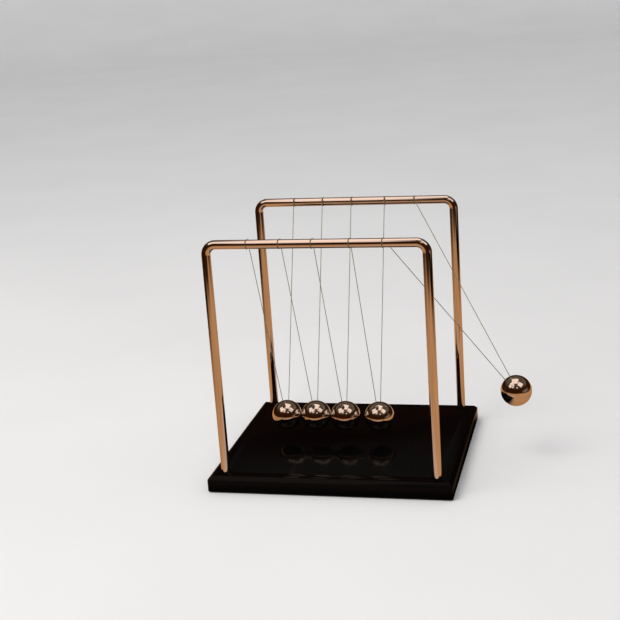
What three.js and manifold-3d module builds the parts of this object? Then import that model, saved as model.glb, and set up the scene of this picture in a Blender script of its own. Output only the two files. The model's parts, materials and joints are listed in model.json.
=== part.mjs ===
// Newton's cradle: five steel balls, each hung on one V of nylon line between two bent chrome frames
// that stand on a black lacquered board. Millimetres, +Z up, +X along the row of balls.
// Origin: centre of the base's underside.
import * as THREE from 'three';
import { mergeVertices } from 'three/addons/utils/BufferGeometryUtils.js';
import Module from 'manifold-3d';

const wasm = await Module();
wasm.setup();

// ---- driving dimensions ----
const BASE_WIDTH = 172;
const BASE_DEPTH = 152;
const BASE_HEIGHT = 12;
const BASE_CHAMFER = 2.5;
const BASE_CORNER_RADIUS = 1;
const FELT_THICKNESS = 1;
const FELT_INSET = 1.2;

const ROD_RADIUS = 3.1;
const ROD_BEND_RADIUS = 7;
const LEG_SPACING = 149; // between the two legs of one frame
const FRAME_SPACING = 134; // between the two frames
const RAIL_HEIGHT = 176; // centre of the rail above the table
const GROOVE_DEPTH = 0.25;
const GROOVE_WIDTH = 0.9;

const SEAT_DEPTH = 3; // blind hole in the board's top that takes the full rod
const SEAT_CLEARANCE = 0.3;
const STUD_RADIUS = 2; // turned-down end of each leg, through the board
const STUD_END = 1.6;
const STUD_HOLE_RADIUS = 2.3;
const POCKET_RADIUS = 6; // counterbore under the board for washer and nut
const POCKET_TOP = 5.5;
const WASHER_RADIUS = 4.5;
const WASHER_THICKNESS = 0.8;
const NUT_ACROSS_FLATS = 7;
const NUT_THICKNESS = 2.4;
const NUT_BORE_RADIUS = 2.15;

const BALL_RADIUS = 11;
const BALL_HEIGHT = 30; // centre of a hanging ball above the table
const BALL_GAP = 0.1; // between neighbours that touch in use
const MIDDLE_GAP = 3.2; // the third and the fourth ball hang a little apart
const HOLE_HEIGHT = 9.2; // cross hole above the ball's centre
const HOLE_RADIUS = 0.8;
const DRAWN_BACK = 31.5; // degrees that the last ball is drawn out along the row

const LINE_RADIUS = 0.25;
const LINE_BEND_RADIUS = 1.1;
const LOOP_CLEARANCE = 0.1; // loop to the bottom of its groove
const KNOT_RADIUS = 0.6;
const LINE_TO_KNOT_GAP = 0.3;

// ---- worked out from them ----
const rodEnd = BASE_HEIGHT - SEAT_DEPTH;
const grooveRadius = ROD_RADIUS - GROOVE_DEPTH;
const loopRadius = grooveRadius + LOOP_CLEARANCE + LINE_RADIUS;
const knotOffset = ROD_RADIUS + KNOT_RADIUS;
const holeHalfLength = Math.sqrt(BALL_RADIUS ** 2 - HOLE_HEIGHT ** 2);
const lineElbow = holeHalfLength + LINE_BEND_RADIUS; // where the line turns up, just outside the ball

// the line hangs in a plane across the row, its slope set by the rail and the ball's hole
const lineSlope = Math.atan2(
  FRAME_SPACING / 2 - ROD_RADIUS - lineElbow,
  RAIL_HEIGHT - BALL_HEIGHT - HOLE_HEIGHT,
);
// each knot lies on the inner side of its rail, square to the line's run
const knotInward = knotOffset * Math.cos(lineSlope);
const knotUp = knotOffset * Math.sin(lineSlope);
const pivotHeight = RAIL_HEIGHT + knotUp;
const pivotHalfSpacing = FRAME_SPACING / 2 - knotInward;
const pendulumLength = pivotHeight - BALL_HEIGHT;

const ballPitch = 2 * BALL_RADIUS + BALL_GAP;
const middlePitch = 2 * BALL_RADIUS + MIDDLE_GAP;
const rowLength = 3 * ballPitch + middlePitch;
const stations = [0, 1, 2].map((i) => i * ballPitch - rowLength / 2);
stations.push(stations[2] + middlePitch, stations[2] + middlePitch + ballPitch);

const legPlaces = [
  ['front_left', -1, -1],
  ['front_right', 1, -1],
  ['rear_left', -1, 1],
  ['rear_right', 1, 1],
];

// ---- materials ----
const metal = (color, roughness) => new THREE.MeshStandardMaterial({ color, roughness, metalness: 1 });
const matt = (color, roughness) => new THREE.MeshStandardMaterial({ color, roughness, metalness: 0 });
const finishes = {
  lacquer: () => matt(0x050505, 0.06),
  felt: () => matt(0x0b0b0c, 0.95),
  chrome: () => metal(0xd8d2cc, 0.05),
  steel: () => metal(0xcfcac5, 0.04),
  zinc: () => metal(0xa9adb0, 0.35),
  nylon: () => matt(0x8a8478, 0.3),
};

// ---- joining and cutting ----
function toSolid(geometry) {
  const bare = geometry.index ? geometry.toNonIndexed() : geometry.clone();
  for (const name of Object.keys(bare.attributes)) {
    if (name !== 'position') bare.deleteAttribute(name);
  }
  const merged = mergeVertices(bare, 1e-4);
  return new wasm.Manifold(
    new wasm.Mesh({
      numProp: 3,
      vertProperties: new Float32Array(merged.attributes.position.array),
      triVerts: new Uint32Array(merged.index.array),
    }),
  );
}

function toGeometry(solid) {
  const mesh = solid.getMesh();
  const geometry = new THREE.BufferGeometry();
  geometry.setAttribute('position', new THREE.BufferAttribute(new Float32Array(mesh.vertProperties), 3));
  geometry.setIndex(new THREE.BufferAttribute(new Uint32Array(mesh.triVerts), 1));
  geometry.computeVertexNormals();
  return geometry;
}

// an upright cylinder between two heights
function column(x, y, bottom, top, radius, sides = 24) {
  return new THREE.CylinderGeometry(radius, radius, top - bottom, sides)
    .rotateX(Math.PI / 2)
    .translate(x, y, (bottom + top) / 2);
}

// ---- a path of straight runs and round bends, sampled at the bends only ----
class BentPath extends THREE.Curve {
  constructor(corners, bendRadius, bendSteps) {
    super();
    this.samples = BentPath.sample(corners, bendRadius, bendSteps);
    this.steps = this.samples.length - 1;
  }

  static sample(corners, bendRadius, bendSteps) {
    const last = corners.length - 1;
    const direction = (i) => corners[i + 1].clone().sub(corners[i]).normalize();
    const samples = [{ point: corners[0], tangent: direction(0) }];
    for (let i = 1; i < last; i++) {
      const [before, after] = [direction(i - 1), direction(i)];
      const turn = before.angleTo(after);
      const setback = bendRadius * Math.tan(turn / 2);
      const start = corners[i].clone().addScaledVector(before, -setback);
      const side = after.clone().addScaledVector(before, -before.dot(after)).normalize();
      for (let k = 0; k <= bendSteps; k++) {
        const a = (turn * k) / bendSteps;
        const point = start
          .clone()
          .addScaledVector(before, bendRadius * Math.sin(a))
          .addScaledVector(side, bendRadius * (1 - Math.cos(a)));
        const tangent = before.clone().multiplyScalar(Math.cos(a)).addScaledVector(side, Math.sin(a));
        samples.push({ point, tangent });
      }
    }
    samples.push({ point: corners[last], tangent: direction(last - 1) });
    return samples;
  }

  at(t) {
    return this.samples[Math.round(t * this.steps)];
  }

  getPoint(t) {
    return this.at(t).point.clone();
  }

  getTangent(t) {
    return this.at(t).tangent.clone();
  }

  // the steps of the extrusion are the samples themselves
  getPointAt(u) {
    return this.getPoint(u);
  }

  getTangentAt(u) {
    return this.getTangent(u);
  }
}

function bentRod(corners, radius, bendRadius, bendSteps, sides) {
  const path = new BentPath(corners, bendRadius, bendSteps);
  const section = new THREE.Shape();
  for (let k = 0; k < sides; k++) {
    const a = (2 * Math.PI * k) / sides;
    const [x, y] = [radius * Math.cos(a), radius * Math.sin(a)];
    if (k === 0) section.moveTo(x, y);
    else section.lineTo(x, y);
  }
  return new THREE.ExtrudeGeometry(section, { steps: path.steps, extrudePath: path });
}

// ---- the base: a lacquered board with chamfered top edges, seats above and pockets below ----
function rectangle(width, depth, radius = 0) {
  const [hx, hy] = [width / 2, depth / 2];
  const shape = new THREE.Shape();
  const corners = [
    [hx, -hy, -Math.PI / 2],
    [hx, hy, 0],
    [-hx, hy, Math.PI / 2],
    [-hx, -hy, Math.PI],
  ];
  corners.forEach(([x, y, turn], i) => {
    const [cx, cy] = [x - Math.sign(x) * radius, y - Math.sign(y) * radius];
    const start = [cx + radius * Math.cos(turn), cy + radius * Math.sin(turn)];
    if (i === 0) shape.moveTo(...start);
    else shape.lineTo(...start);
    if (radius > 0) shape.absarc(cx, cy, radius, turn, turn + Math.PI / 2);
  });
  return shape;
}

function boardGeometry() {
  const inner = 2 * BASE_CHAMFER;
  const chamfered = new THREE.ExtrudeGeometry(rectangle(BASE_WIDTH - inner, BASE_DEPTH - inner), {
    depth: BASE_HEIGHT,
    bevelThickness: BASE_CHAMFER,
    bevelSize: BASE_CHAMFER,
    bevelSegments: 1,
  }).translate(0, 0, -BASE_CHAMFER);
  const plank = new THREE.ExtrudeGeometry(rectangle(BASE_WIDTH, BASE_DEPTH, BASE_CORNER_RADIUS), {
    depth: BASE_HEIGHT,
    bevelEnabled: false,
    curveSegments: 3,
  }).translate(0, 0, FELT_THICKNESS);
  let board = toSolid(plank).intersect(toSolid(chamfered));
  for (const [, sx, sy] of legPlaces) {
    const [x, y] = [(sx * LEG_SPACING) / 2, (sy * FRAME_SPACING) / 2];
    const seat = column(x, y, rodEnd, BASE_HEIGHT + 1, ROD_RADIUS + SEAT_CLEARANCE);
    const hole = column(x, y, 0, BASE_HEIGHT, STUD_HOLE_RADIUS, 16);
    const pocket = column(x, y, 0, POCKET_TOP, POCKET_RADIUS);
    for (const cut of [seat, hole, pocket]) board = board.subtract(toSolid(cut));
  }
  return toGeometry(board);
}

function feltGeometry() {
  const outline = rectangle(BASE_WIDTH - 2 * FELT_INSET, BASE_DEPTH - 2 * FELT_INSET);
  return new THREE.ExtrudeGeometry(outline, { depth: FELT_THICKNESS, bevelEnabled: false });
}

// ---- a frame: one rod bent into a U, grooved at each station, its ends turned down to studs ----
function frameGeometry() {
  const hx = LEG_SPACING / 2;
  const corners = [
    new THREE.Vector3(-hx, 0, rodEnd),
    new THREE.Vector3(-hx, 0, RAIL_HEIGHT),
    new THREE.Vector3(hx, 0, RAIL_HEIGHT),
    new THREE.Vector3(hx, 0, rodEnd),
  ];
  let frame = toSolid(bentRod(corners, ROD_RADIUS, ROD_BEND_RADIUS, 7, 20));
  for (const side of [-1, 1]) {
    frame = frame.add(toSolid(column(side * hx, 0, STUD_END, rodEnd + 1, STUD_RADIUS, 16)));
  }
  for (const x of stations) frame = frame.subtract(toSolid(grooveCutter().translate(x, 0, RAIL_HEIGHT)));
  return toGeometry(frame);
}

// a flat ring around the rail; what it takes away leaves one groove
function grooveCutter() {
  const [inner, outer, half] = [grooveRadius, ROD_RADIUS + 0.5, GROOVE_WIDTH / 2];
  const profile = [
    [inner, -half],
    [outer, -half],
    [outer, half],
    [inner, half],
    [inner, -half],
  ].map(([r, h]) => new THREE.Vector2(r, h));
  return new THREE.LatheGeometry(profile, 20).rotateZ(Math.PI / 2);
}

// ---- washers and nuts on the studs, hidden in the board's pockets ----
function washerGeometry() {
  const ring = column(0, 0, 0, WASHER_THICKNESS, WASHER_RADIUS, 20);
  const bore = column(0, 0, -1, WASHER_THICKNESS + 1, STUD_HOLE_RADIUS, 16);
  return toGeometry(toSolid(ring).subtract(toSolid(bore)));
}

function nutGeometry() {
  const acrossCorners = NUT_ACROSS_FLATS / Math.cos(Math.PI / 6);
  const hexagon = column(0, 0, 0, NUT_THICKNESS, acrossCorners / 2, 6);
  const bore = column(0, 0, -1, NUT_THICKNESS + 1, NUT_BORE_RADIUS, 16);
  return toGeometry(toSolid(hexagon).subtract(toSolid(bore)));
}

// ---- a ball: its poles lie along the row, so neighbours meet pole to pole ----
function ballGeometry() {
  const sphere = new THREE.SphereGeometry(BALL_RADIUS, 24, 16).rotateZ(Math.PI / 2);
  const hole = new THREE.CylinderGeometry(HOLE_RADIUS, HOLE_RADIUS, 2 * BALL_RADIUS, 12).translate(0, 0, HOLE_HEIGHT);
  return toGeometry(toSolid(sphere).subtract(toSolid(hole)));
}

// ---- the line: one length from the front knot, through the ball and up to the rear knot ----
function lineGeometry() {
  const holeDrop = -pendulumLength + HOLE_HEIGHT;
  const start = KNOT_RADIUS + LINE_TO_KNOT_GAP;
  const top = (side) => {
    const knot = new THREE.Vector3(0, side * pivotHalfSpacing, 0);
    const elbow = new THREE.Vector3(0, side * lineElbow, holeDrop);
    return knot.clone().addScaledVector(elbow.sub(knot).normalize(), start);
  };
  const corners = [
    top(-1),
    new THREE.Vector3(0, -lineElbow, holeDrop),
    new THREE.Vector3(0, lineElbow, holeDrop),
    top(1),
  ];
  return bentRod(corners, LINE_RADIUS, LINE_BEND_RADIUS, 4, 8);
}

// ---- a loop: the line's end round the rail in its groove, tied off in a knot on the inner side ----
function loopGeometry(inward) {
  const profile = [];
  for (let k = 0; k <= 6; k++) {
    const a = (2 * Math.PI * k) / 6;
    profile.push(new THREE.Vector2(loopRadius + LINE_RADIUS * Math.cos(a), LINE_RADIUS * Math.sin(a)));
  }
  const ring = new THREE.LatheGeometry(profile, 20).rotateZ(Math.PI / 2);
  const knot = new THREE.SphereGeometry(KNOT_RADIUS, 8, 6).translate(0, inward * knotInward, knotUp);
  return toGeometry(toSolid(ring).add(toSolid(knot)));
}

// ---- the whole cradle ----
function piece(name, geometry, finish, x = 0, y = 0, z = 0) {
  const mesh = new THREE.Mesh(geometry, finishes[finish]());
  mesh.name = name;
  mesh.position.set(x, y, z);
  return mesh;
}

const cradle = new THREE.Group();
cradle.add(piece('base_board', boardGeometry(), 'lacquer'));
cradle.add(piece('base_felt', feltGeometry(), 'felt'));

for (const [name, sx, sy] of legPlaces) {
  const [x, y] = [(sx * LEG_SPACING) / 2, (sy * FRAME_SPACING) / 2];
  const washerBottom = POCKET_TOP - WASHER_THICKNESS;
  cradle.add(piece(`washer_${name}`, washerGeometry(), 'zinc', x, y, washerBottom));
  cradle.add(piece(`nut_${name}`, nutGeometry(), 'zinc', x, y, washerBottom - NUT_THICKNESS));
}

for (const [name, side] of [['front', -1], ['rear', 1]]) {
  const frame = new THREE.Group();
  frame.position.y = (side * FRAME_SPACING) / 2;
  frame.add(piece(`${name}_frame`, frameGeometry(), 'chrome'));
  stations.forEach((x, i) => {
    frame.add(piece(`loop_${name}_${i + 1}`, loopGeometry(-side), 'nylon', x, 0, RAIL_HEIGHT));
  });
  cradle.add(frame);
}

stations.forEach((x, i) => {
  const pendulum = new THREE.Group();
  pendulum.position.set(x, 0, pivotHeight);
  if (i === stations.length - 1) pendulum.rotation.y = -THREE.MathUtils.degToRad(DRAWN_BACK);
  pendulum.add(piece(`line_${i + 1}`, lineGeometry(), 'nylon'));
  pendulum.add(piece(`ball_${i + 1}`, ballGeometry(), 'steel', 0, 0, -pendulumLength));
  cradle.add(pendulum);
});

export default cradle;
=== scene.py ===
import json
import math

import bmesh
import bpy
from mathutils import Matrix, Vector


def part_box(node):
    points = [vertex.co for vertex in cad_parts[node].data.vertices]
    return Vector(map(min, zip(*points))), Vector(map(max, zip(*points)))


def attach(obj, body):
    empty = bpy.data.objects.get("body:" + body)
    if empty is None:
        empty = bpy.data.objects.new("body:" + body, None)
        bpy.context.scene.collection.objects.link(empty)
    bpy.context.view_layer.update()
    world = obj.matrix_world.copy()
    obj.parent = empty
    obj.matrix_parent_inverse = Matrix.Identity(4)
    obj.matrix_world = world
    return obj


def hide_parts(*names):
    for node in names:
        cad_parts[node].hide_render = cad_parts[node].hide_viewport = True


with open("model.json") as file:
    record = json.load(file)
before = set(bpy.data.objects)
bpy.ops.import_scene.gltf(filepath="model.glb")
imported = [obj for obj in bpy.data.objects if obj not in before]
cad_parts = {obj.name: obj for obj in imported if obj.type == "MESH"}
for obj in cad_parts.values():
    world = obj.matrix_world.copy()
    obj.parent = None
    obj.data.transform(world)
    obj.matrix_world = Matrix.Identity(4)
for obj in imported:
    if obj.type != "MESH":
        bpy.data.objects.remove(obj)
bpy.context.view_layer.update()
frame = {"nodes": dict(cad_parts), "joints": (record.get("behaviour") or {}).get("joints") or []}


# ---- the camera ----
# A 75 mm lens at about twice the rails' height, in front of the cradle on the drawn-out ball's side and
# looking back across the row. It dips towards the board and is turned a few degrees about its own axis.
CAMERA_PLACE = Vector((0.2003, -0.8689, 0.3691))
CAMERA_HEADING = math.radians(-14.40)
CAMERA_DIP = math.radians(16.06)
CAMERA_LEAN = math.radians(-4.05)
CAMERA_LENS_MM = 75.39
SENSOR_WIDTH_MM = 36.0
NEAREST_SEEN = 0.01

camera_data = bpy.data.cameras.new("camera")
camera_data.sensor_width = SENSOR_WIDTH_MM
camera_data.lens = CAMERA_LENS_MM
camera_data.clip_start = NEAREST_SEEN
camera = bpy.data.objects.new("camera", camera_data)
bpy.context.scene.collection.objects.link(camera)
bpy.context.scene.camera = camera

ahead = Vector((
    math.sin(CAMERA_HEADING) * math.cos(CAMERA_DIP),
    math.cos(CAMERA_HEADING) * math.cos(CAMERA_DIP),
    -math.sin(CAMERA_DIP),
))
level_right = ahead.cross(Vector((0, 0, 1))).normalized()
level_up = level_right.cross(ahead)
camera_right = level_right * math.cos(CAMERA_LEAN) + level_up * math.sin(CAMERA_LEAN)
camera_up = level_up * math.cos(CAMERA_LEAN) - level_right * math.sin(CAMERA_LEAN)
camera.matrix_world = Matrix.Translation(CAMERA_PLACE) @ Matrix(
    (camera_right, camera_up, -ahead)
).transposed().to_4x4()


# ---- the nylon lines ----
# Each ball hangs on one length of clear monofilament. It is tied to the front rail, threaded through
# the ball's cross hole and tied to the rear rail, and the ball's weight keeps both legs of the V straight.
MM = 0.001
LINE_DIAMETER = 0.5 * MM
LINE_BEND = 1.1 * MM
LINE_BEND_STEPS = 8
NYLON_TINT = (0.30, 0.25, 0.15)
ROD_RADIUS = 3.1 * MM
KNOT_OFFSET = 3.7 * MM  # from the rail's centre line to the middle of a knot
BALL_RADIUS = 11 * MM
HOLE_HEIGHT = 9.2 * MM  # the cross hole's height above the ball's centre
HOLE_HALF_LENGTH = math.sqrt(BALL_RADIUS**2 - HOLE_HEIGHT**2)


class Pendulum:
    """One ball's place: the axis it swings about, its reach, and how far it is drawn out at rest."""

    def __init__(self, joint):
        low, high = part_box(joint["child"])
        self.body = joint["child"]
        self.pivot = Vector(joint["pos_m"])
        drop = (low + high) / 2 - self.pivot
        self.reach = drop.length
        drawn_out = Matrix.Rotation(-math.atan2(drop.x, -drop.z), 4, "Y")
        self.place = Matrix.Translation(self.pivot) @ drawn_out

    def route(self):
        """The line's centre line: knot, bend, the ball's cross hole, bend, knot."""
        hole = HOLE_HEIGHT - self.reach
        elbow = HOLE_HALF_LENGTH + LINE_BEND
        corners = [
            Vector((0, -knot_from_middle, 0)),
            Vector((0, -elbow, hole)),
            Vector((0, elbow, hole)),
            Vector((0, knot_from_middle, 0)),
        ]
        return [self.place @ p for p in rounded(corners, LINE_BEND, LINE_BEND_STEPS)]


def rounded(corners, radius, steps):
    """The points of a path through corners, with each inner corner bent to an arc."""
    points = [corners[0]]
    for before, here, after in zip(corners, corners[1:], corners[2:]):
        come, leave = (here - before).normalized(), (after - here).normalized()
        turn = come.angle(leave)
        start = here - come * radius * math.tan(turn / 2)
        side = (leave - come * come.dot(leave)).normalized()
        for k in range(steps + 1):
            a = turn * k / steps
            points.append(start + come * radius * math.sin(a) + side * radius * (1 - math.cos(a)))
    return points + [corners[-1]]


def new_material(name, **sockets):
    """A material of one Principled shader, with constants set on its sockets by name."""
    material = bpy.data.materials.new(name)
    material.use_nodes = True
    shader = material.node_tree.nodes["Principled BSDF"]
    for socket, value in sockets.items():
        shader.inputs[socket.replace("_", " ")].default_value = value
    return material, material.node_tree.nodes, material.node_tree.links, shader


def noise(nodes, links, scale, detail, roughness, stretch=(1, 1, 1)):
    """Noise over the piece's own Object coordinates; a small stretch draws it out along that axis."""
    place = nodes.new("ShaderNodeTexCoord")
    mapping = nodes.new("ShaderNodeMapping")
    mapping.inputs["Scale"].default_value = stretch
    texture = nodes.new("ShaderNodeTexNoise")
    texture.inputs["Scale"].default_value = scale
    texture.inputs["Detail"].default_value = detail
    texture.inputs["Roughness"].default_value = roughness
    links.new(place.outputs["Object"], mapping.inputs["Vector"])
    links.new(mapping.outputs["Vector"], texture.inputs["Vector"])
    return texture.outputs["Fac"]


def spread(nodes, links, value, low, high, at=(0.35, 0.65)):
    """A value brought from the range given as at, which is where most of a noise lies, to low and high."""
    node = nodes.new("ShaderNodeMapRange")
    node.inputs["From Min"].default_value = at[0]
    node.inputs["From Max"].default_value = at[1]
    node.inputs["To Min"].default_value = low
    node.inputs["To Max"].default_value = high
    links.new(value, node.inputs["Value"])
    return node.outputs["Result"]


def bump(nodes, links, shader, height, strength, distance):
    """Fine relief on a shader, from a height of 0 to 1 that stands for the distance."""
    node = nodes.new("ShaderNodeBump")
    node.inputs["Strength"].default_value = strength
    node.inputs["Distance"].default_value = distance
    links.new(height, node.inputs["Height"])
    links.new(node.outputs["Normal"], shader.inputs["Normal"])


def nylon_material():
    """Clear monofilament, slightly smoked, with the faint unevenness that it is drawn with."""
    material, nodes, links, shader = new_material(
        "nylon_line",
        Base_Color=(*NYLON_TINT, 1),
        Transmission_Weight=0.6,
        IOR=1.53,
    )
    drawn = noise(nodes, links, scale=900, detail=3, roughness=0.6, stretch=(1, 1, 0.08))
    links.new(spread(nodes, links, drawn, low=0.08, high=0.22), shader.inputs["Roughness"])
    bump(nodes, links, shader, drawn, strength=0.15, distance=0.02 * MM)
    return material


nylon = nylon_material()
pendulums = [Pendulum(joint) for joint in frame["joints"]]
front_low, front_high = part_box("front_frame")
rail_height = front_high.z - ROD_RADIUS
knot_rise = pendulums[0].pivot.z - rail_height
knot_inward = math.sqrt(KNOT_OFFSET**2 - knot_rise**2)
knot_from_middle = -(front_low.y + front_high.y) / 2 - knot_inward
for number, pendulum in enumerate(pendulums, 1):
    route = pendulum.route()
    curve = bpy.data.curves.new(f"nylon_line_{number}", "CURVE")
    curve.dimensions = "3D"
    curve.bevel_depth = LINE_DIAMETER / 2
    curve.bevel_resolution = 3
    curve.use_fill_caps = True
    spline = curve.splines.new("POLY")
    spline.points.add(len(route) - 1)
    for point, place in zip(spline.points, route):
        point.co = (*place, 1)
    curve.materials.append(nylon)
    line = bpy.data.objects.new(curve.name, curve)
    bpy.context.scene.collection.objects.link(line)
    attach(line, pendulum.body)
    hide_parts(f"line_{number}")


# ---- the base board ----
# A board of medium-density fibre, chamfered round its top edge, drilled for the four legs, then sprayed
# with black high-gloss lacquer and polished. Lacquer draws back from edges, so they end up softly rounded.
EDGE_ROUNDING = 0.35 * MM
EDGE_SEGMENTS = 3
WELD_DISTANCE = 0.002 * MM
FLAT_ENOUGH = math.radians(0.5)
EDGE_ANGLE = math.radians(30)
LACQUER_BLACK = (0.0012, 0.0011, 0.0012)
DUST_GREY = (0.022, 0.021, 0.020)
DUST_ROUGHNESS = 0.25


def merged_copy(node, name):
    """A separate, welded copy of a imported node, with its flat faces made whole."""
    mesh = frame["nodes"][node].data.copy()
    mesh.name = name
    mesh.materials.clear()
    work = bmesh.new()
    work.from_mesh(mesh)
    bmesh.ops.remove_doubles(work, verts=work.verts, dist=WELD_DISTANCE)
    bmesh.ops.dissolve_limit(work, angle_limit=FLAT_ENOUGH, verts=work.verts, edges=work.edges)
    work.to_mesh(mesh)
    work.free()
    piece = bpy.data.objects.new(name, mesh)
    bpy.context.scene.collection.objects.link(piece)
    return piece


def settle(piece):
    """The piece's live modifiers, worked into its mesh."""
    bpy.context.view_layer.update()
    evaluated = piece.evaluated_get(bpy.context.evaluated_depsgraph_get())
    mesh = bpy.data.meshes.new_from_object(evaluated)
    piece.modifiers.clear()
    piece.data = mesh
    return piece


def calculate(nodes, links, operation, *values):
    """The result of one operation on values that are numbers or other nodes' results."""
    node = nodes.new("ShaderNodeMath")
    node.operation = operation
    for socket, value in zip(node.inputs, values):
        if isinstance(value, float):
            socket.default_value = value
        else:
            links.new(value, socket)
    return node.outputs[0]


def mixed(nodes, links, factor, first, second):
    """A colour that goes from the first to the second as the factor goes from 0 to 1."""
    node = nodes.new("ShaderNodeMix")
    node.data_type = "RGBA"
    links.new(factor, node.inputs["Factor"])
    for socket, colour in (("A", first), ("B", second)):
        if isinstance(colour, tuple):
            node.inputs[socket].default_value = (*colour, 1)
        else:
            links.new(colour, node.inputs[socket])
    return node.outputs["Result"]


def lacquer_material():
    """Black lacquer: a deep gloss with a faint orange peel, polishing haze and a little settled dust."""
    material, nodes, links, shader = new_material("black_lacquer", IOR=1.5, Specular_IOR_Level=0.07)
    haze = noise(nodes, links, scale=28, detail=5, roughness=0.55)
    dust = noise(nodes, links, scale=2600, detail=2, roughness=0.5)
    specks = spread(nodes, links, dust, low=0.0, high=1.0, at=(0.70, 0.78))
    gloss = spread(nodes, links, haze, low=0.08, high=0.15)
    rougher = calculate(nodes, links, "MULTIPLY_ADD", specks, DUST_ROUGHNESS, gloss)
    links.new(rougher, shader.inputs["Roughness"])
    tone = mixed(nodes, links, specks, LACQUER_BLACK, DUST_GREY)
    links.new(tone, shader.inputs["Base Color"])
    peel = noise(nodes, links, scale=420, detail=2, roughness=0.4)
    bump(nodes, links, shader, peel, strength=0.05, distance=0.02 * MM)
    return material


board = merged_copy("base_board", "lacquered_board")
soften = board.modifiers.new("soft edges", "BEVEL")
soften.width = EDGE_ROUNDING
soften.segments = EDGE_SEGMENTS
soften.limit_method = "ANGLE"
soften.angle_limit = EDGE_ANGLE
soften.harden_normals = True
board.data.shade_smooth()
settle(board)
board.data.materials.append(lacquer_material())
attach(board, "stand")
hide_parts("base_board")


# ---- the felt ----
# A die-cut sheet of black felt, glued over the whole underside. It hides the nuts and keeps the board from
# scratching the desk.
FELT_DARK = (0.004, 0.004, 0.005)
FELT_PALE = (0.030, 0.030, 0.032)


def ramp(nodes, links, value, stops):
    """A colour from a row of (position, colour) stops."""
    node = nodes.new("ShaderNodeValToRGB")
    while len(node.color_ramp.elements) < len(stops):
        node.color_ramp.elements.new(0.5)
    for element, (position, colour) in zip(node.color_ramp.elements, stops):
        element.position = position
        element.color = (*colour, 1)
    links.new(value, node.inputs["Fac"])
    return node.outputs["Color"]


def felt_material():
    """Pressed black fibres: a matted surface with uneven tone and a soft sheen."""
    material, nodes, links, shader = new_material(
        "black_felt",
        Sheen_Weight=0.5,
        Sheen_Roughness=0.6,
        Roughness=0.95,
    )
    mats = noise(nodes, links, scale=90, detail=4, roughness=0.6)
    tone = ramp(nodes, links, mats, [(0.0, FELT_DARK), (1.0, FELT_PALE)])
    links.new(tone, shader.inputs["Base Color"])
    fibres = noise(nodes, links, scale=1800, detail=6, roughness=0.7)
    bump(nodes, links, shader, fibres, strength=0.9, distance=0.3 * MM)
    return material


felt = frame["nodes"]["base_felt"]
felt.data.materials.clear()
felt.data.materials.append(felt_material())


# ---- the frames ----
# Each frame is one 6.2 mm steel rod, turned down and threaded at its ends, bent to a U, grooved at every
# station, polished and plated with bright chrome. The studs pass through the board to nuts below.
BEND_RADIUS = 7 * MM
BEND_STEPS = 24
GROOVE_DEPTH = 0.25 * MM
GROOVE_WIDTH = 0.9 * MM
GROOVE_STEPS = 5
STUD_RADIUS = 2 * MM
THREAD_PITCH = 0.7 * MM
THREAD_DEPTH = 0.3 * MM
STUD_SHANK = 5.5 * MM  # height at which the thread ends and the stud goes on plain
SEAT_FLOOR = 9 * MM  # height of the floor of the board's blind hole, where the full rod starts
END_CHAMFER = 0.3 * MM
ROD_SIDES = 64
SHARP_ANGLE = math.radians(32)
CHROME_TINT = (0.83, 0.78, 0.74)


def node_group(name, inputs):
    """An empty Geometry Nodes tree with a geometry input, the named inputs and a geometry output."""
    tree = bpy.data.node_groups.new(name, "GeometryNodeTree")
    tree.interface.new_socket("Geometry", in_out="INPUT", socket_type="NodeSocketGeometry")
    for label, kind in inputs:
        tree.interface.new_socket(label, in_out="INPUT", socket_type=f"NodeSocket{kind}")
    tree.interface.new_socket("Geometry", in_out="OUTPUT", socket_type="NodeSocketGeometry")
    return tree, tree.nodes.new("NodeGroupInput"), tree.nodes.new("NodeGroupOutput")


def finish_tree(tree, given, result, geometry):
    """Instances made real, smooth shading with sharp edges kept, and the material set."""
    nodes, links = tree.nodes, tree.links
    real = nodes.new("GeometryNodeRealizeInstances")
    smooth = nodes.new("GeometryNodeSetShadeSmooth")
    angle = nodes.new("GeometryNodeInputMeshEdgeAngle")
    steep = nodes.new("FunctionNodeCompare")
    steep.inputs["B"].default_value = SHARP_ANGLE
    sharp = nodes.new("GeometryNodeStoreNamedAttribute")
    sharp.data_type = "BOOLEAN"
    sharp.domain = "EDGE"
    sharp.inputs["Name"].default_value = "sharp_edge"
    painted = nodes.new("GeometryNodeSetMaterial")
    links.new(geometry, real.inputs["Geometry"])
    links.new(real.outputs["Geometry"], smooth.inputs["Geometry"])
    links.new(angle.outputs["Unsigned Angle"], steep.inputs["A"])
    links.new(steep.outputs["Result"], sharp.inputs["Value"])
    links.new(smooth.outputs["Geometry"], sharp.inputs["Geometry"])
    links.new(sharp.outputs["Geometry"], painted.inputs["Geometry"])
    links.new(given.outputs["Material"], painted.inputs["Material"])
    links.new(painted.outputs["Geometry"], result.inputs["Geometry"])


def grown(name, tree, values, mesh):
    """A piece made by the tree from a mesh and the values of its named inputs, as a plain mesh."""
    piece = bpy.data.objects.new(name, mesh)
    bpy.context.scene.collection.objects.link(piece)
    modifier = piece.modifiers.new(tree.name, "NODES")
    modifier.node_group = tree
    for item in tree.interface.items_tree:
        if item.item_type == "SOCKET" and item.in_out == "INPUT" and item.name in values:
            modifier[item.identifier] = values[item.name]
    settle(piece)
    plain = piece.data
    plain.name = name
    plain.materials.clear()
    plain.materials.append(values["Material"])
    plain.polygons.foreach_set("material_index", [0] * len(plain.polygons))
    return piece


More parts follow.
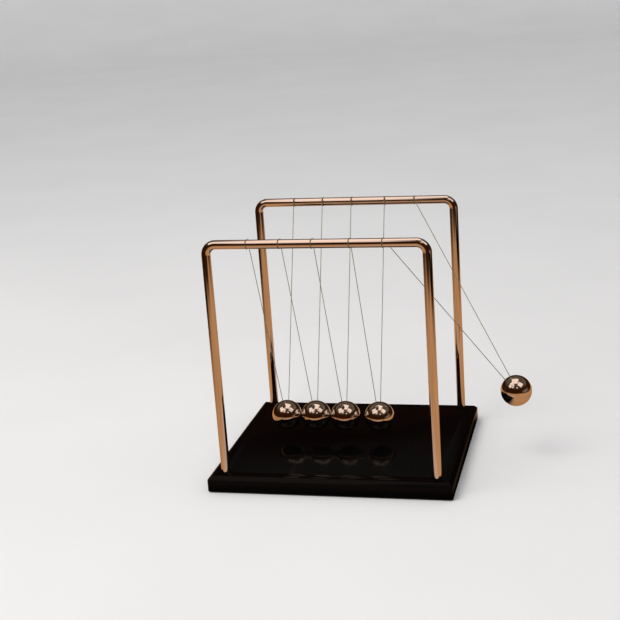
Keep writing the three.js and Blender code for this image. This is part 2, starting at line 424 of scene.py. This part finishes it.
def swept(tree, given):
    """A round section swept along the mesh's path, as thick at each point as its girth attribute says."""
    nodes, links = tree.nodes, tree.links
    path = nodes.new("GeometryNodeMeshToCurve")
    girth = nodes.new("GeometryNodeInputNamedAttribute")
    girth.data_type = "FLOAT"
    girth.inputs["Name"].default_value = "girth"
    section = nodes.new("GeometryNodeCurvePrimitiveCircle")
    section.inputs["Radius"].default_value = 1.0
    sweep = nodes.new("GeometryNodeCurveToMesh")
    sweep.inputs["Fill Caps"].default_value = True
    links.new(given.outputs["Geometry"], path.inputs["Mesh"])
    links.new(given.outputs["Sides"], section.inputs["Resolution"])
    links.new(path.outputs["Curve"], sweep.inputs["Curve"])
    links.new(section.outputs["Curve"], sweep.inputs["Profile Curve"])
    links.new(girth.outputs[0], sweep.inputs["Scale"])
    return sweep.outputs["Mesh"]


def rod_tree():
    """A bent rod along the mesh's path."""
    tree, given, result = node_group("bent rod", [("Sides", "Int"), ("Material", "Material")])
    finish_tree(tree, given, result, swept(tree, given))
    return tree


def path_mesh(name, strands, girths=None):
    """Open or closed lines of points, as (points, closed) pairs, with the girth at each point if given."""
    points, edges = [], []
    for strand, closed in strands:
        first = len(points)
        points += strand
        edges += [(k, k + 1) for k in range(first, len(points) - 1)]
        if closed:
            edges.append((len(points) - 1, first))
    mesh = bpy.data.meshes.new(name)
    mesh.from_pydata(points, edges, [])
    if girths:
        layer = mesh.attributes.new("girth", "FLOAT", "POINT")
        layer.data.foreach_set("value", girths)
    return mesh


def chrome_material():
    """Bright chrome over polished steel: fine polishing lines and a haze of handling."""
    material, nodes, links, shader = new_material(
        "bright_chrome",
        Base_Color=(*CHROME_TINT, 1),
        Metallic=1.0,
    )
    smears = noise(nodes, links, scale=45, detail=6, roughness=0.62)
    links.new(spread(nodes, links, smears, low=0.03, high=0.09), shader.inputs["Roughness"])
    polish = noise(nodes, links, scale=700, detail=3, roughness=0.5, stretch=(0.12, 1, 0.12))
    bump(nodes, links, shader, polish, strength=0.04, distance=0.01 * MM)
    return material


def half_rod():
    """The left half of a frame's centre line, from the stud's tip to the rail, with its radii."""
    left = front_low.x + ROD_RADIUS
    half_turn = THREAD_PITCH / 2
    profile = []
    for k in range(int((STUD_SHANK - front_low.z) / half_turn) + 1):
        crest = k > 0 and k % 2 == 0
        profile.append((front_low.z + k * half_turn, STUD_RADIUS if crest else STUD_RADIUS - THREAD_DEPTH))
    profile += [
        (STUD_SHANK, STUD_RADIUS),
        (SEAT_FLOOR, STUD_RADIUS),
        (SEAT_FLOOR, ROD_RADIUS - END_CHAMFER),
        (SEAT_FLOOR + END_CHAMFER, ROD_RADIUS),
    ]
    points = [Vector((left, 0, z)) for z, _ in profile]
    radii = [radius for _, radius in profile]
    corners = [points[-1], Vector((left, 0, rail_height)), Vector((0, 0, rail_height))]
    bend = rounded(corners, BEND_RADIUS, BEND_STEPS)[1:-1]
    return points + bend, radii + [ROD_RADIUS] * len(bend)


def frame_route(side_y):
    """A frame's centre line: left half, rail with a round-bottomed groove per station, right half."""
    points, radii = half_rod()
    right = [Vector((-p.x, 0, p.z)) for p in reversed(points)]
    right_radii = list(reversed(radii))
    for pendulum in pendulums:
        for k in range(-GROOVE_STEPS, GROOVE_STEPS + 1):
            across = k / GROOVE_STEPS
            points.append(Vector((pendulum.pivot.x + across * GROOVE_WIDTH / 2, 0, rail_height)))
            radii.append(ROD_RADIUS - GROOVE_DEPTH * math.sqrt(1 - across**2))
    points += right
    radii += right_radii
    return [p + Vector((0, side_y, 0)) for p in points], radii


swept_rod = rod_tree()
chrome = chrome_material()
rail_y = {}
for name in ("front", "rear"):
    low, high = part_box(f"{name}_frame")
    rail_y[name] = (low.y + high.y) / 2
    route, girths = frame_route(rail_y[name])
    mesh = path_mesh(f"{name}_rod", [(route, False)], girths)
    rod = grown(f"{name}_rod", swept_rod, {"Sides": ROD_SIDES, "Material": chrome}, mesh)
    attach(rod, "stand")
    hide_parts(f"{name}_frame")


# ---- the loops and knots ----
# At every station the line's end goes round the rail in its groove and is tied off with an overhand knot on
# the inner side. The end is clipped a little above the knot.
LOOP_RADIUS = 3.2 * MM
LOOP_STEPS = 36
KNOT_SIZE = 0.2 * MM
KNOT_STEPS = 42
KNOT_SQUEEZED_ALONG = 0.8
KNOT_SQUEEZED_OUT = 0.9
TAIL_LENGTH = 1.6 * MM
TAIL_CURL = 0.12 * MM
TAIL_LEAN_OUT = 0.35
TAIL_LEAN_ACROSS = 0.25
TAIL_STEPS = 4
STRAND_SIDES = 10


def loop_tree():
    """One tied loop, set at every point of the mesh, all turned the same way."""
    tree, given, result = node_group("tied loops", [
        ("Strand", "Object"),
        ("Strand Radius", "Float"),
        ("Turn", "Rotation"),
        ("Material", "Material"),
    ])
    nodes, links = tree.nodes, tree.links
    strand = nodes.new("GeometryNodeObjectInfo")
    path = nodes.new("GeometryNodeMeshToCurve")
    section = nodes.new("GeometryNodeCurvePrimitiveCircle")
    section.inputs["Resolution"].default_value = STRAND_SIDES
    sweep = nodes.new("GeometryNodeCurveToMesh")
    sweep.inputs["Fill Caps"].default_value = True
    copies = nodes.new("GeometryNodeInstanceOnPoints")
    links.new(given.outputs["Strand"], strand.inputs["Object"])
    links.new(strand.outputs["Geometry"], path.inputs["Mesh"])
    links.new(given.outputs["Strand Radius"], section.inputs["Radius"])
    links.new(path.outputs["Curve"], sweep.inputs["Curve"])
    links.new(section.outputs["Curve"], sweep.inputs["Profile Curve"])
    links.new(given.outputs["Geometry"], copies.inputs["Points"])
    links.new(sweep.outputs["Mesh"], copies.inputs["Instance"])
    links.new(given.outputs["Turn"], copies.inputs["Rotation"])
    finish_tree(tree, given, result, copies.outputs["Instances"])
    return tree


def tied_strand():
    """A loop round a rail along X, with its overhand knot towards +Y and the clipped end."""
    knot_centre = Vector((0, knot_inward, knot_rise))
    outwards = knot_centre.normalized()
    along = Vector((0, -outwards.z, outwards.y))
    across = Vector((1, 0, 0))
    loop = []
    for k in range(LOOP_STEPS):
        a = 2 * math.pi * k / LOOP_STEPS
        loop.append(Vector((0, LOOP_RADIUS * math.cos(a), LOOP_RADIUS * math.sin(a))))
    # the knot is a trefoil, pulled a little flat
    knot = []
    for k in range(KNOT_STEPS):
        a = 2 * math.pi * k / KNOT_STEPS
        turn = across * (math.sin(a) + 2 * math.sin(2 * a))
        turn += along * KNOT_SQUEEZED_ALONG * (math.cos(a) - 2 * math.cos(2 * a))
        turn -= outwards * KNOT_SQUEEZED_OUT * math.sin(3 * a)
        knot.append(knot_centre + KNOT_SIZE * turn)
    lean = (along + outwards * TAIL_LEAN_OUT + across * TAIL_LEAN_ACROSS).normalized()
    tail = []
    for k in range(TAIL_STEPS + 1):
        t = k / TAIL_STEPS
        tail.append(knot_centre + lean * TAIL_LENGTH * t + outwards * TAIL_CURL * t**2)
    return path_mesh("tied_strand", [(loop, True), (knot, True), (tail, False)])


tied_loops = loop_tree()
strand = bpy.data.objects.new("tied_strand", tied_strand())
bpy.context.scene.collection.objects.link(strand)
for name, turn in (("front", 0.0), ("rear", math.pi)):
    stations = [([Vector((p.pivot.x, rail_y[name], rail_height))], False) for p in pendulums]
    loops = grown(f"{name}_loops", tied_loops, {
        "Strand": strand,
        "Strand Radius": LINE_DIAMETER / 2,
        "Turn": (0.0, 0.0, turn),
        "Material": nylon,
    }, path_mesh(f"{name}_stations", stations))
    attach(loops, "stand")
    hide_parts(*[f"loop_{name}_{k}" for k in range(1, len(stations) + 1)])
bpy.data.objects.remove(strand)


# ---- the balls ----
# Bearing-quality steel balls, drilled across near the top, countersunk so that the hole doesn't cut the line,
# then tumbled and polished to a mirror. Swinging and handling leave a faint haze and hair scratches.
HOLE_RADIUS = 0.8 * MM
COUNTERSINK = 0.35 * MM  # how much wider than the hole its mouths are
COUNTERSINK_ABOVE = 0.2 * MM
COUNTERSINK_BELOW = 0.35 * MM
DRILL_FLARE = 3 * COUNTERSINK  # the same at the ball's full radius, beyond the mouths
BALL_SEGMENTS = 128
BALL_RINGS = 72
DRILL_SIDES = 32
STEEL_TINT = (0.78, 0.73, 0.69)
ON_THE_SURFACE = 0.9985  # a face's centre lies at least this far out, in radii, if it is the sphere's
FACING_OUT = 0.98


def ball_tree():
    """A sphere with its poles along the row, less the drill's sweep along the mesh's path."""
    tree, given, result = node_group("drilled ball", [
        ("Radius", "Float"),
        ("Segments", "Int"),
        ("Rings", "Int"),
        ("Sides", "Int"),
        ("Material", "Material"),
    ])
    nodes, links = tree.nodes, tree.links
    sphere = nodes.new("GeometryNodeMeshUVSphere")
    for size in ("Radius", "Segments", "Rings"):
        links.new(given.outputs[size], sphere.inputs[size])
    turned = nodes.new("GeometryNodeTransform")
    turned.inputs["Rotation"].default_value = (0, math.pi / 2, 0)
    cut = nodes.new("GeometryNodeMeshBoolean")
    cut.operation = "DIFFERENCE"
    cut.solver = "EXACT"
    links.new(sphere.outputs["Mesh"], turned.inputs["Geometry"])
    links.new(turned.outputs["Geometry"], cut.inputs["Mesh 1"])
    links.new(swept(tree, given), cut.inputs["Mesh 2"])
    finish_tree(tree, given, result, cut.outputs["Mesh"])
    return tree


def drill_path():
    """The drill's way across the ball, opening to a cone at each mouth."""
    half = [
        (BALL_RADIUS, HOLE_RADIUS + DRILL_FLARE),
        (HOLE_HALF_LENGTH + COUNTERSINK_ABOVE, HOLE_RADIUS + COUNTERSINK),
        (HOLE_HALF_LENGTH - COUNTERSINK_BELOW, HOLE_RADIUS),
    ]
    profile = [(-y, radius) for y, radius in half] + half[::-1]
    points = [Vector((0, y, HOLE_HEIGHT)) for y, _ in profile]
    return path_mesh("drill", [(points, False)], [radius for _, radius in profile])


def polish_normals(mesh):
    """True sphere normals on the outside, so that reflections run smoothly up to the hole's rim."""
    mesh.shade_smooth()
    normals = []
    for polygon in mesh.polygons:
        facing_out = polygon.normal.dot(polygon.center.normalized()) > FACING_OUT
        outside = facing_out and polygon.center.length > BALL_RADIUS * ON_THE_SURFACE
        for corner in polygon.loop_indices:
            vertex = mesh.vertices[mesh.loops[corner].vertex_index].co
            normals.append(vertex.normalized() if outside else polygon.normal.copy())
    mesh.normals_split_custom_set(normals)


def steel_material():
    """Mirror-polished steel: hair scratches, drawn out along Y, and a faint haze from fingers."""
    material, nodes, links, shader = new_material(
        "mirror_steel",
        Base_Color=(*STEEL_TINT, 1),
        Metallic=1.0,
    )
    haze = noise(nodes, links, scale=160, detail=5, roughness=0.6)
    links.new(spread(nodes, links, haze, low=0.015, high=0.06), shader.inputs["Roughness"])
    hairs = noise(nodes, links, scale=2200, detail=2, roughness=0.5, stretch=(1, 0.05, 1))
    bump(nodes, links, shader, hairs, strength=0.02, distance=0.01 * MM)
    return material


steel = steel_material()
drilled_ball = ball_tree()
for number, pendulum in enumerate(pendulums, 1):
    ball = grown(f"steel_ball_{number}", drilled_ball, {
        "Radius": BALL_RADIUS,
        "Segments": BALL_SEGMENTS,
        "Rings": BALL_RINGS,
        "Sides": DRILL_SIDES,
        "Material": steel,
    }, drill_path())
    polish_normals(ball.data)
    ball.data.transform(pendulum.place @ Matrix.Translation((0, 0, -pendulum.reach)))
    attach(ball, pendulum.body)
    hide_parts(f"ball_{number}")


# ---- the washers and nuts ----
# Turned washers and pressed hexagon nuts of zinc-plated steel. They are run up on the studs, in pockets
# under the board, before the felt is glued over them.
ZINC_DARK = (0.42, 0.43, 0.44)
ZINC_PALE = (0.68, 0.69, 0.70)


def zinc_material():
    """Dull bright zinc, with the fine cloudiness of barrel plating."""
    material, nodes, links, shader = new_material("zinc_plate", Metallic=1.0)
    spangle = noise(nodes, links, scale=900, detail=4, roughness=0.6)
    tone = ramp(nodes, links, spangle, [(0.0, ZINC_DARK), (1.0, ZINC_PALE)])
    links.new(tone, shader.inputs["Base Color"])
    links.new(spread(nodes, links, spangle, low=0.28, high=0.48), shader.inputs["Roughness"])
    return material


zinc = zinc_material()
for name, node in frame["nodes"].items():
    if name.startswith(("washer_", "nut_")):
        node.data.materials.clear()
        node.data.materials.append(zinc)


# ---- the floor and the studio ----
# A plain pale sweep of card with soft light from above and all round. Polished metal also sees what a
# product studio holds: bright panels overhead, a warm table and reflector below, and a dim room. The table
# and reflector are no lamps but glowing cards seen only in polished metal: painted reflections of a lit table
# and a lit reflector.
FLOOR_RADIUS = 3.5
SWEEP_CURVE = 2.5
SWEEP_STEPS = 24
SWEEP_SIDES = 96
RIM_HEIGHT = 1.2  # at which the card is palest


def sweep_mesh():
    """A level round floor that curves up to an upright rim all round."""
    profile = [(FLOOR_RADIUS, 0.0)]
    for k in range(1, SWEEP_STEPS + 1):
        a = math.pi / 2 * k / SWEEP_STEPS
        profile.append((FLOOR_RADIUS + SWEEP_CURVE * math.sin(a), SWEEP_CURVE * (1 - math.cos(a))))
    points, faces = [], [tuple(range(SWEEP_SIDES))]
    for ring, (radius, z) in enumerate(profile):
        for k in range(SWEEP_SIDES):
            a = 2 * math.pi * k / SWEEP_SIDES
            points.append((radius * math.cos(a), radius * math.sin(a), z))
            if ring:
                here, onward = ring * SWEEP_SIDES + k, ring * SWEEP_SIDES + (k + 1) % SWEEP_SIDES
                faces.append((here, onward, onward - SWEEP_SIDES, here - SWEEP_SIDES))
    mesh = bpy.data.meshes.new("sweep")
    mesh.from_pydata(points, [], faces)
    mesh.shade_smooth()
    return mesh


def card_material():
    """Pale card with a trace of grain, paler towards its rim, which gets less light."""
    material, nodes, links, shader = new_material("pale_card", Roughness=0.8)
    place = nodes.new("ShaderNodeTexCoord")
    split = nodes.new("ShaderNodeSeparateXYZ")
    links.new(place.outputs["Object"], split.inputs["Vector"])
    grain = noise(nodes, links, scale=5, detail=3, roughness=0.5)
    floor_tone = spread(nodes, links, grain, low=0.66, high=0.68)
    rim_tone = spread(nodes, links, split.outputs["Z"], low=0.0, high=0.24, at=(0.0, RIM_HEIGHT))
    tone = calculate(nodes, links, "ADD", floor_tone, rim_tone)
    links.new(tone, shader.inputs["Base Color"])
    return material


def stage_piece(name, mesh, material, mirrored_only=True):
    """A piece of the studio. Most are seen only in polished surfaces."""
    mesh.materials.append(material)
    piece = bpy.data.objects.new(name, mesh)
    bpy.context.scene.collection.objects.link(piece)
    if mirrored_only:
        piece.visible_camera = False
        piece.visible_diffuse = False
        piece.visible_transmission = False
        piece.visible_shadow = False
    return piece


def fade(nodes, links, value, start, end):
    """0 before the start and 1 past the end, with a soft change between them."""
    node = nodes.new("ShaderNodeMapRange")
    node.interpolation_type = "SMOOTHSTEP"
    node.inputs["From Min"].default_value = start
    node.inputs["From Max"].default_value = end
    links.new(value, node.inputs["Value"])
    return node.outputs["Result"]


def empty_material(name):
    """A material whose surface is still to be made."""
    material = bpy.data.materials.new(name)
    material.use_nodes = True
    nodes, links = material.node_tree.nodes, material.node_tree.links
    nodes.remove(nodes["Principled BSDF"])
    return material, nodes, links


def glow_material(name, colour, strength, soft_edge):
    """An even glow that fades out towards the panel's edges; the panel's mesh runs from -1 to 1."""
    material, nodes, links = empty_material(name)
    glow = nodes.new("ShaderNodeEmission")
    clear = nodes.new("ShaderNodeBsdfTransparent")
    mix = nodes.new("ShaderNodeMixShader")
    glow.inputs["Color"].default_value = (*colour, 1)
    glow.inputs["Strength"].default_value = strength
    place = nodes.new("ShaderNodeUVMap")
    split = nodes.new("ShaderNodeSeparateXYZ")
    links.new(place.outputs["UV"], split.inputs["Vector"])
    fades = []
    for axis in "XY":
        off_centre = calculate(nodes, links, "ABSOLUTE", split.outputs[axis])
        fades.append(fade(nodes, links, off_centre, 1.0, 1.0 - soft_edge))
    links.new(calculate(nodes, links, "MULTIPLY", *fades), mix.inputs["Fac"])
    links.new(clear.outputs["BSDF"], mix.inputs[1])
    links.new(glow.outputs["Emission"], mix.inputs[2])
    links.new(mix.outputs["Shader"], nodes["Material Output"].inputs["Surface"])
    return material


def panel_mesh(name, centre, half_x, half_y):
    """A rectangle about a centre, spanned by two half-sides, with coordinates from -1 to 1 across it."""
    signs = [(-1, -1), (1, -1), (1, 1), (-1, 1)]
    mesh = bpy.data.meshes.new(name)
    mesh.from_pydata([centre + half_x * u + half_y * v for u, v in signs], [], [(0, 1, 2, 3)])
    layer = mesh.uv_layers.new(name="across")
    for corner, uv in zip(layer.data, signs):
        corner.uv = uv
    return mesh


# each is (azimuth from the front to the right, elevation, width, height, strength), in degrees and metres
PANELS = {
    "softbox_left": (-49, 56, 0.84, 0.76, 1.16),
    "softbox_middle": (180, 86, 0.80, 1.00, 1.16),
    "softbox_right": (66, 51, 0.62, 0.64, 1.10),
    "lamp_left": (-16, 42, 0.28, 0.20, 1.0),
    "lamp_right": (21, 37, 0.16, 0.16, 1.2),
}
PANEL_COLOUR = (1.0, 0.76, 0.64)
PANEL_SOFT_EDGE = 0.35
PANELS_AIM = Vector((0, 0, 0.05))  # a spot just above the balls


def panel(name, azimuth, elevation, width, height, strength):
    """A bright panel, a metre from the spot that it faces."""
    a, e = math.radians(azimuth), math.radians(elevation)
    out = Vector((math.sin(a) * math.cos(e), -math.cos(a) * math.cos(e), math.sin(e)))
    across = out.cross(Vector((0, 1, 0))).normalized()
    upright = across.cross(out)
    mesh = panel_mesh(name, PANELS_AIM + out, across * width / 2, upright * height / 2)
    stage_piece(name, mesh, glow_material(name, PANEL_COLOUR, strength, PANEL_SOFT_EDGE))


# each fade is (where the glow is gone, where it is full), along X, along Y or away from the board
TABLE_MIDDLE = Vector((0.08, 0.40, -0.003))
TABLE_HALF_WIDTH = Vector((0.72, 0, 0))
TABLE_HALF_DEPTH = Vector((0, 1.1, 0))
TABLE_LEFT_FADE = (-0.62, -0.16)
TABLE_RIGHT_FADE = (0.64, 0.36)
TABLE_FRONT_FADE = (-0.70, -0.46)
TABLE_REAR_FADE = (1.0, 0.45)
BOARD_SHADE = (0.0, 0.03)
TABLE_GLOW_ORANGE = (1.0, 0.50, 0.22)
TABLE_GLOW_PINK = (1.0, 0.64, 0.46)
PINK_FADE_IN_FRONT = (-0.24, -0.10)
PINK_FADE_BESIDE = (0.03, 0.0)


def past(nodes, links, value, edge):
    """How far a value lies past an edge on either side of the middle, and 0 within it."""
    off_middle = calculate(nodes, links, "ABSOLUTE", value)
    beyond = calculate(nodes, links, "SUBTRACT", off_middle, edge)
    return calculate(nodes, links, "MAXIMUM", beyond, 0.0)


def table_glow_material():
    """A warm glow that paints a lit table: it fades out towards the table's edges, and close to the board it
    fades as painted shade from the board.
    """
    material, nodes, links = empty_material("warm_table")
    place = nodes.new("ShaderNodeTexCoord")
    split = nodes.new("ShaderNodeSeparateXYZ")
    links.new(place.outputs["Object"], split.inputs["Vector"])
    x, y = split.outputs["X"], split.outputs["Y"]
    board_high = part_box("base_board")[1]
    beside = past(nodes, links, x, board_high.x)
    before = past(nodes, links, y, board_high.y)
    squares = [calculate(nodes, links, "MULTIPLY", side, side) for side in (beside, before)]
    gap = calculate(nodes, links, "SQRT", calculate(nodes, links, "ADD", *squares))
    # painted unevenness of the table's light: the glow is stronger and weaker in soft patches
    patches = noise(nodes, links, scale=5, detail=2, roughness=0.5)
    strength = spread(nodes, links, patches, low=0.44, high=0.57)
    for value, (gone, full) in (
        (x, TABLE_LEFT_FADE),
        (x, TABLE_RIGHT_FADE),
        (y, TABLE_FRONT_FADE),
        (y, TABLE_REAR_FADE),
        (gap, BOARD_SHADE),
    ):
        strength = calculate(nodes, links, "MULTIPLY", strength, fade(nodes, links, value, gone, full))
    # painted reflection colour: the glow turns pinker straight in front of the board
    close_by = fade(nodes, links, y, *PINK_FADE_IN_FRONT)
    straight_on = fade(nodes, links, beside, *PINK_FADE_BESIDE)
    in_front = calculate(nodes, links, "MULTIPLY", close_by, straight_on)
    glow = nodes.new("ShaderNodeEmission")
    links.new(mixed(nodes, links, in_front, TABLE_GLOW_ORANGE, TABLE_GLOW_PINK), glow.inputs["Color"])
    links.new(strength, glow.inputs["Strength"])
    links.new(glow.outputs["Emission"], nodes["Material Output"].inputs["Surface"])
    return material


# The reflector is a glowing card seen only in polished metal: a painted reflection of a lit reflector.
REFLECTOR_MIDDLE = Vector((0.80, -0.20, 0.10))
REFLECTOR_HALF_LENGTH = Vector((0, 0.55, 0))
REFLECTOR_HALF_HEIGHT = Vector((0, 0, 0.18))
REFLECTOR_COLOUR = (1.0, 0.66, 0.48)
REFLECTOR_STRENGTH = 0.22
REFLECTOR_SOFT_EDGE = 0.9

sweep = stage_piece("sweep", sweep_mesh(), card_material(), mirrored_only=False)
sweep.visible_glossy = False
for name, measures in PANELS.items():
    panel(name, *measures)
# the table is no lamp: a glowing card seen only in polished metal, a painted reflection of a lit table
table = panel_mesh("warm_table", TABLE_MIDDLE, TABLE_HALF_WIDTH, TABLE_HALF_DEPTH)
stage_piece("warm_table", table, table_glow_material())
reflector = panel_mesh("warm_reflector", REFLECTOR_MIDDLE, REFLECTOR_HALF_LENGTH, REFLECTOR_HALF_HEIGHT)
reflector_glow = glow_material("warm_reflector", REFLECTOR_COLOUR, REFLECTOR_STRENGTH, REFLECTOR_SOFT_EDGE)
stage_piece("warm_reflector", reflector, reflector_glow)

KEY_PLACE = Vector((-0.7, -0.8, 1.6))
KEY_WIDTH = 1.3
KEY_WATTS = 22
KEY_COLOUR = (1.0, 0.97, 0.94)
key = bpy.data.lights.new("key", "AREA")
key.shape = "DISK"
key.size = KEY_WIDTH
key.energy = KEY_WATTS
key.color = KEY_COLOUR
key_light = bpy.data.objects.new("key", key)
towards_cradle = (-KEY_PLACE).to_track_quat("-Z", "Y").to_matrix().to_4x4()
key_light.matrix_world = Matrix.Translation(KEY_PLACE) @ towards_cradle
key_light.visible_glossy = False
bpy.context.scene.collection.objects.link(key_light)

SOFT_LIGHT = (0.84, 0.84, 0.85)
ROOM_FLOOR = (0.10, 0.05, 0.02)
ROOM_DARK = (0.030, 0.008, 0.002)
ROOM_CEILING = (0.10, 0.07, 0.05)
FRONT_UPPER = (0.075, 0.05, 0.03)
REAR_BAND = (0.13, 0.12, 0.095)
REAR_UPPER = (0.085, 0.06, 0.04)
FRONT_TO_REAR = (-0.1, 0.3)


def room():
    """Even soft light for matt surfaces; in polished ones a dim brown room, paler behind and overhead."""
    world = bpy.data.worlds.new("room")
    world.use_nodes = True
    nodes, links = world.node_tree.nodes, world.node_tree.links
    place = nodes.new("ShaderNodeTexCoord")
    split = nodes.new("ShaderNodeSeparateXYZ")
    links.new(place.outputs["Generated"], split.inputs["Vector"])
    height = spread(nodes, links, split.outputs["Z"], low=0.0, high=1.0, at=(-1.0, 1.0))
    front = ramp(nodes, links, height, [
        (0.0, ROOM_FLOOR),
        (0.40, ROOM_DARK),
        (0.70, ROOM_DARK),
        (0.84, FRONT_UPPER),
        (1.0, ROOM_CEILING),
    ])
    rear = ramp(nodes, links, height, [
        (0.0, ROOM_FLOOR),
        (0.40, ROOM_DARK),
        (0.71, ROOM_DARK),
        (0.78, REAR_BAND),
        (0.88, REAR_UPPER),
        (1.0, ROOM_CEILING),
    ])
    rearward = spread(nodes, links, split.outputs["Y"], low=0.0, high=1.0, at=FRONT_TO_REAR)
    walls = mixed(nodes, links, rearward, front, rear)
    ray = nodes.new("ShaderNodeLightPath")
    seen = mixed(nodes, links, ray.outputs["Is Glossy Ray"], SOFT_LIGHT, walls)
    links.new(seen, nodes["Background"].inputs["Color"])
    bpy.context.scene.world = world


room()
bpy.context.scene.view_settings.view_transform = "Standard"
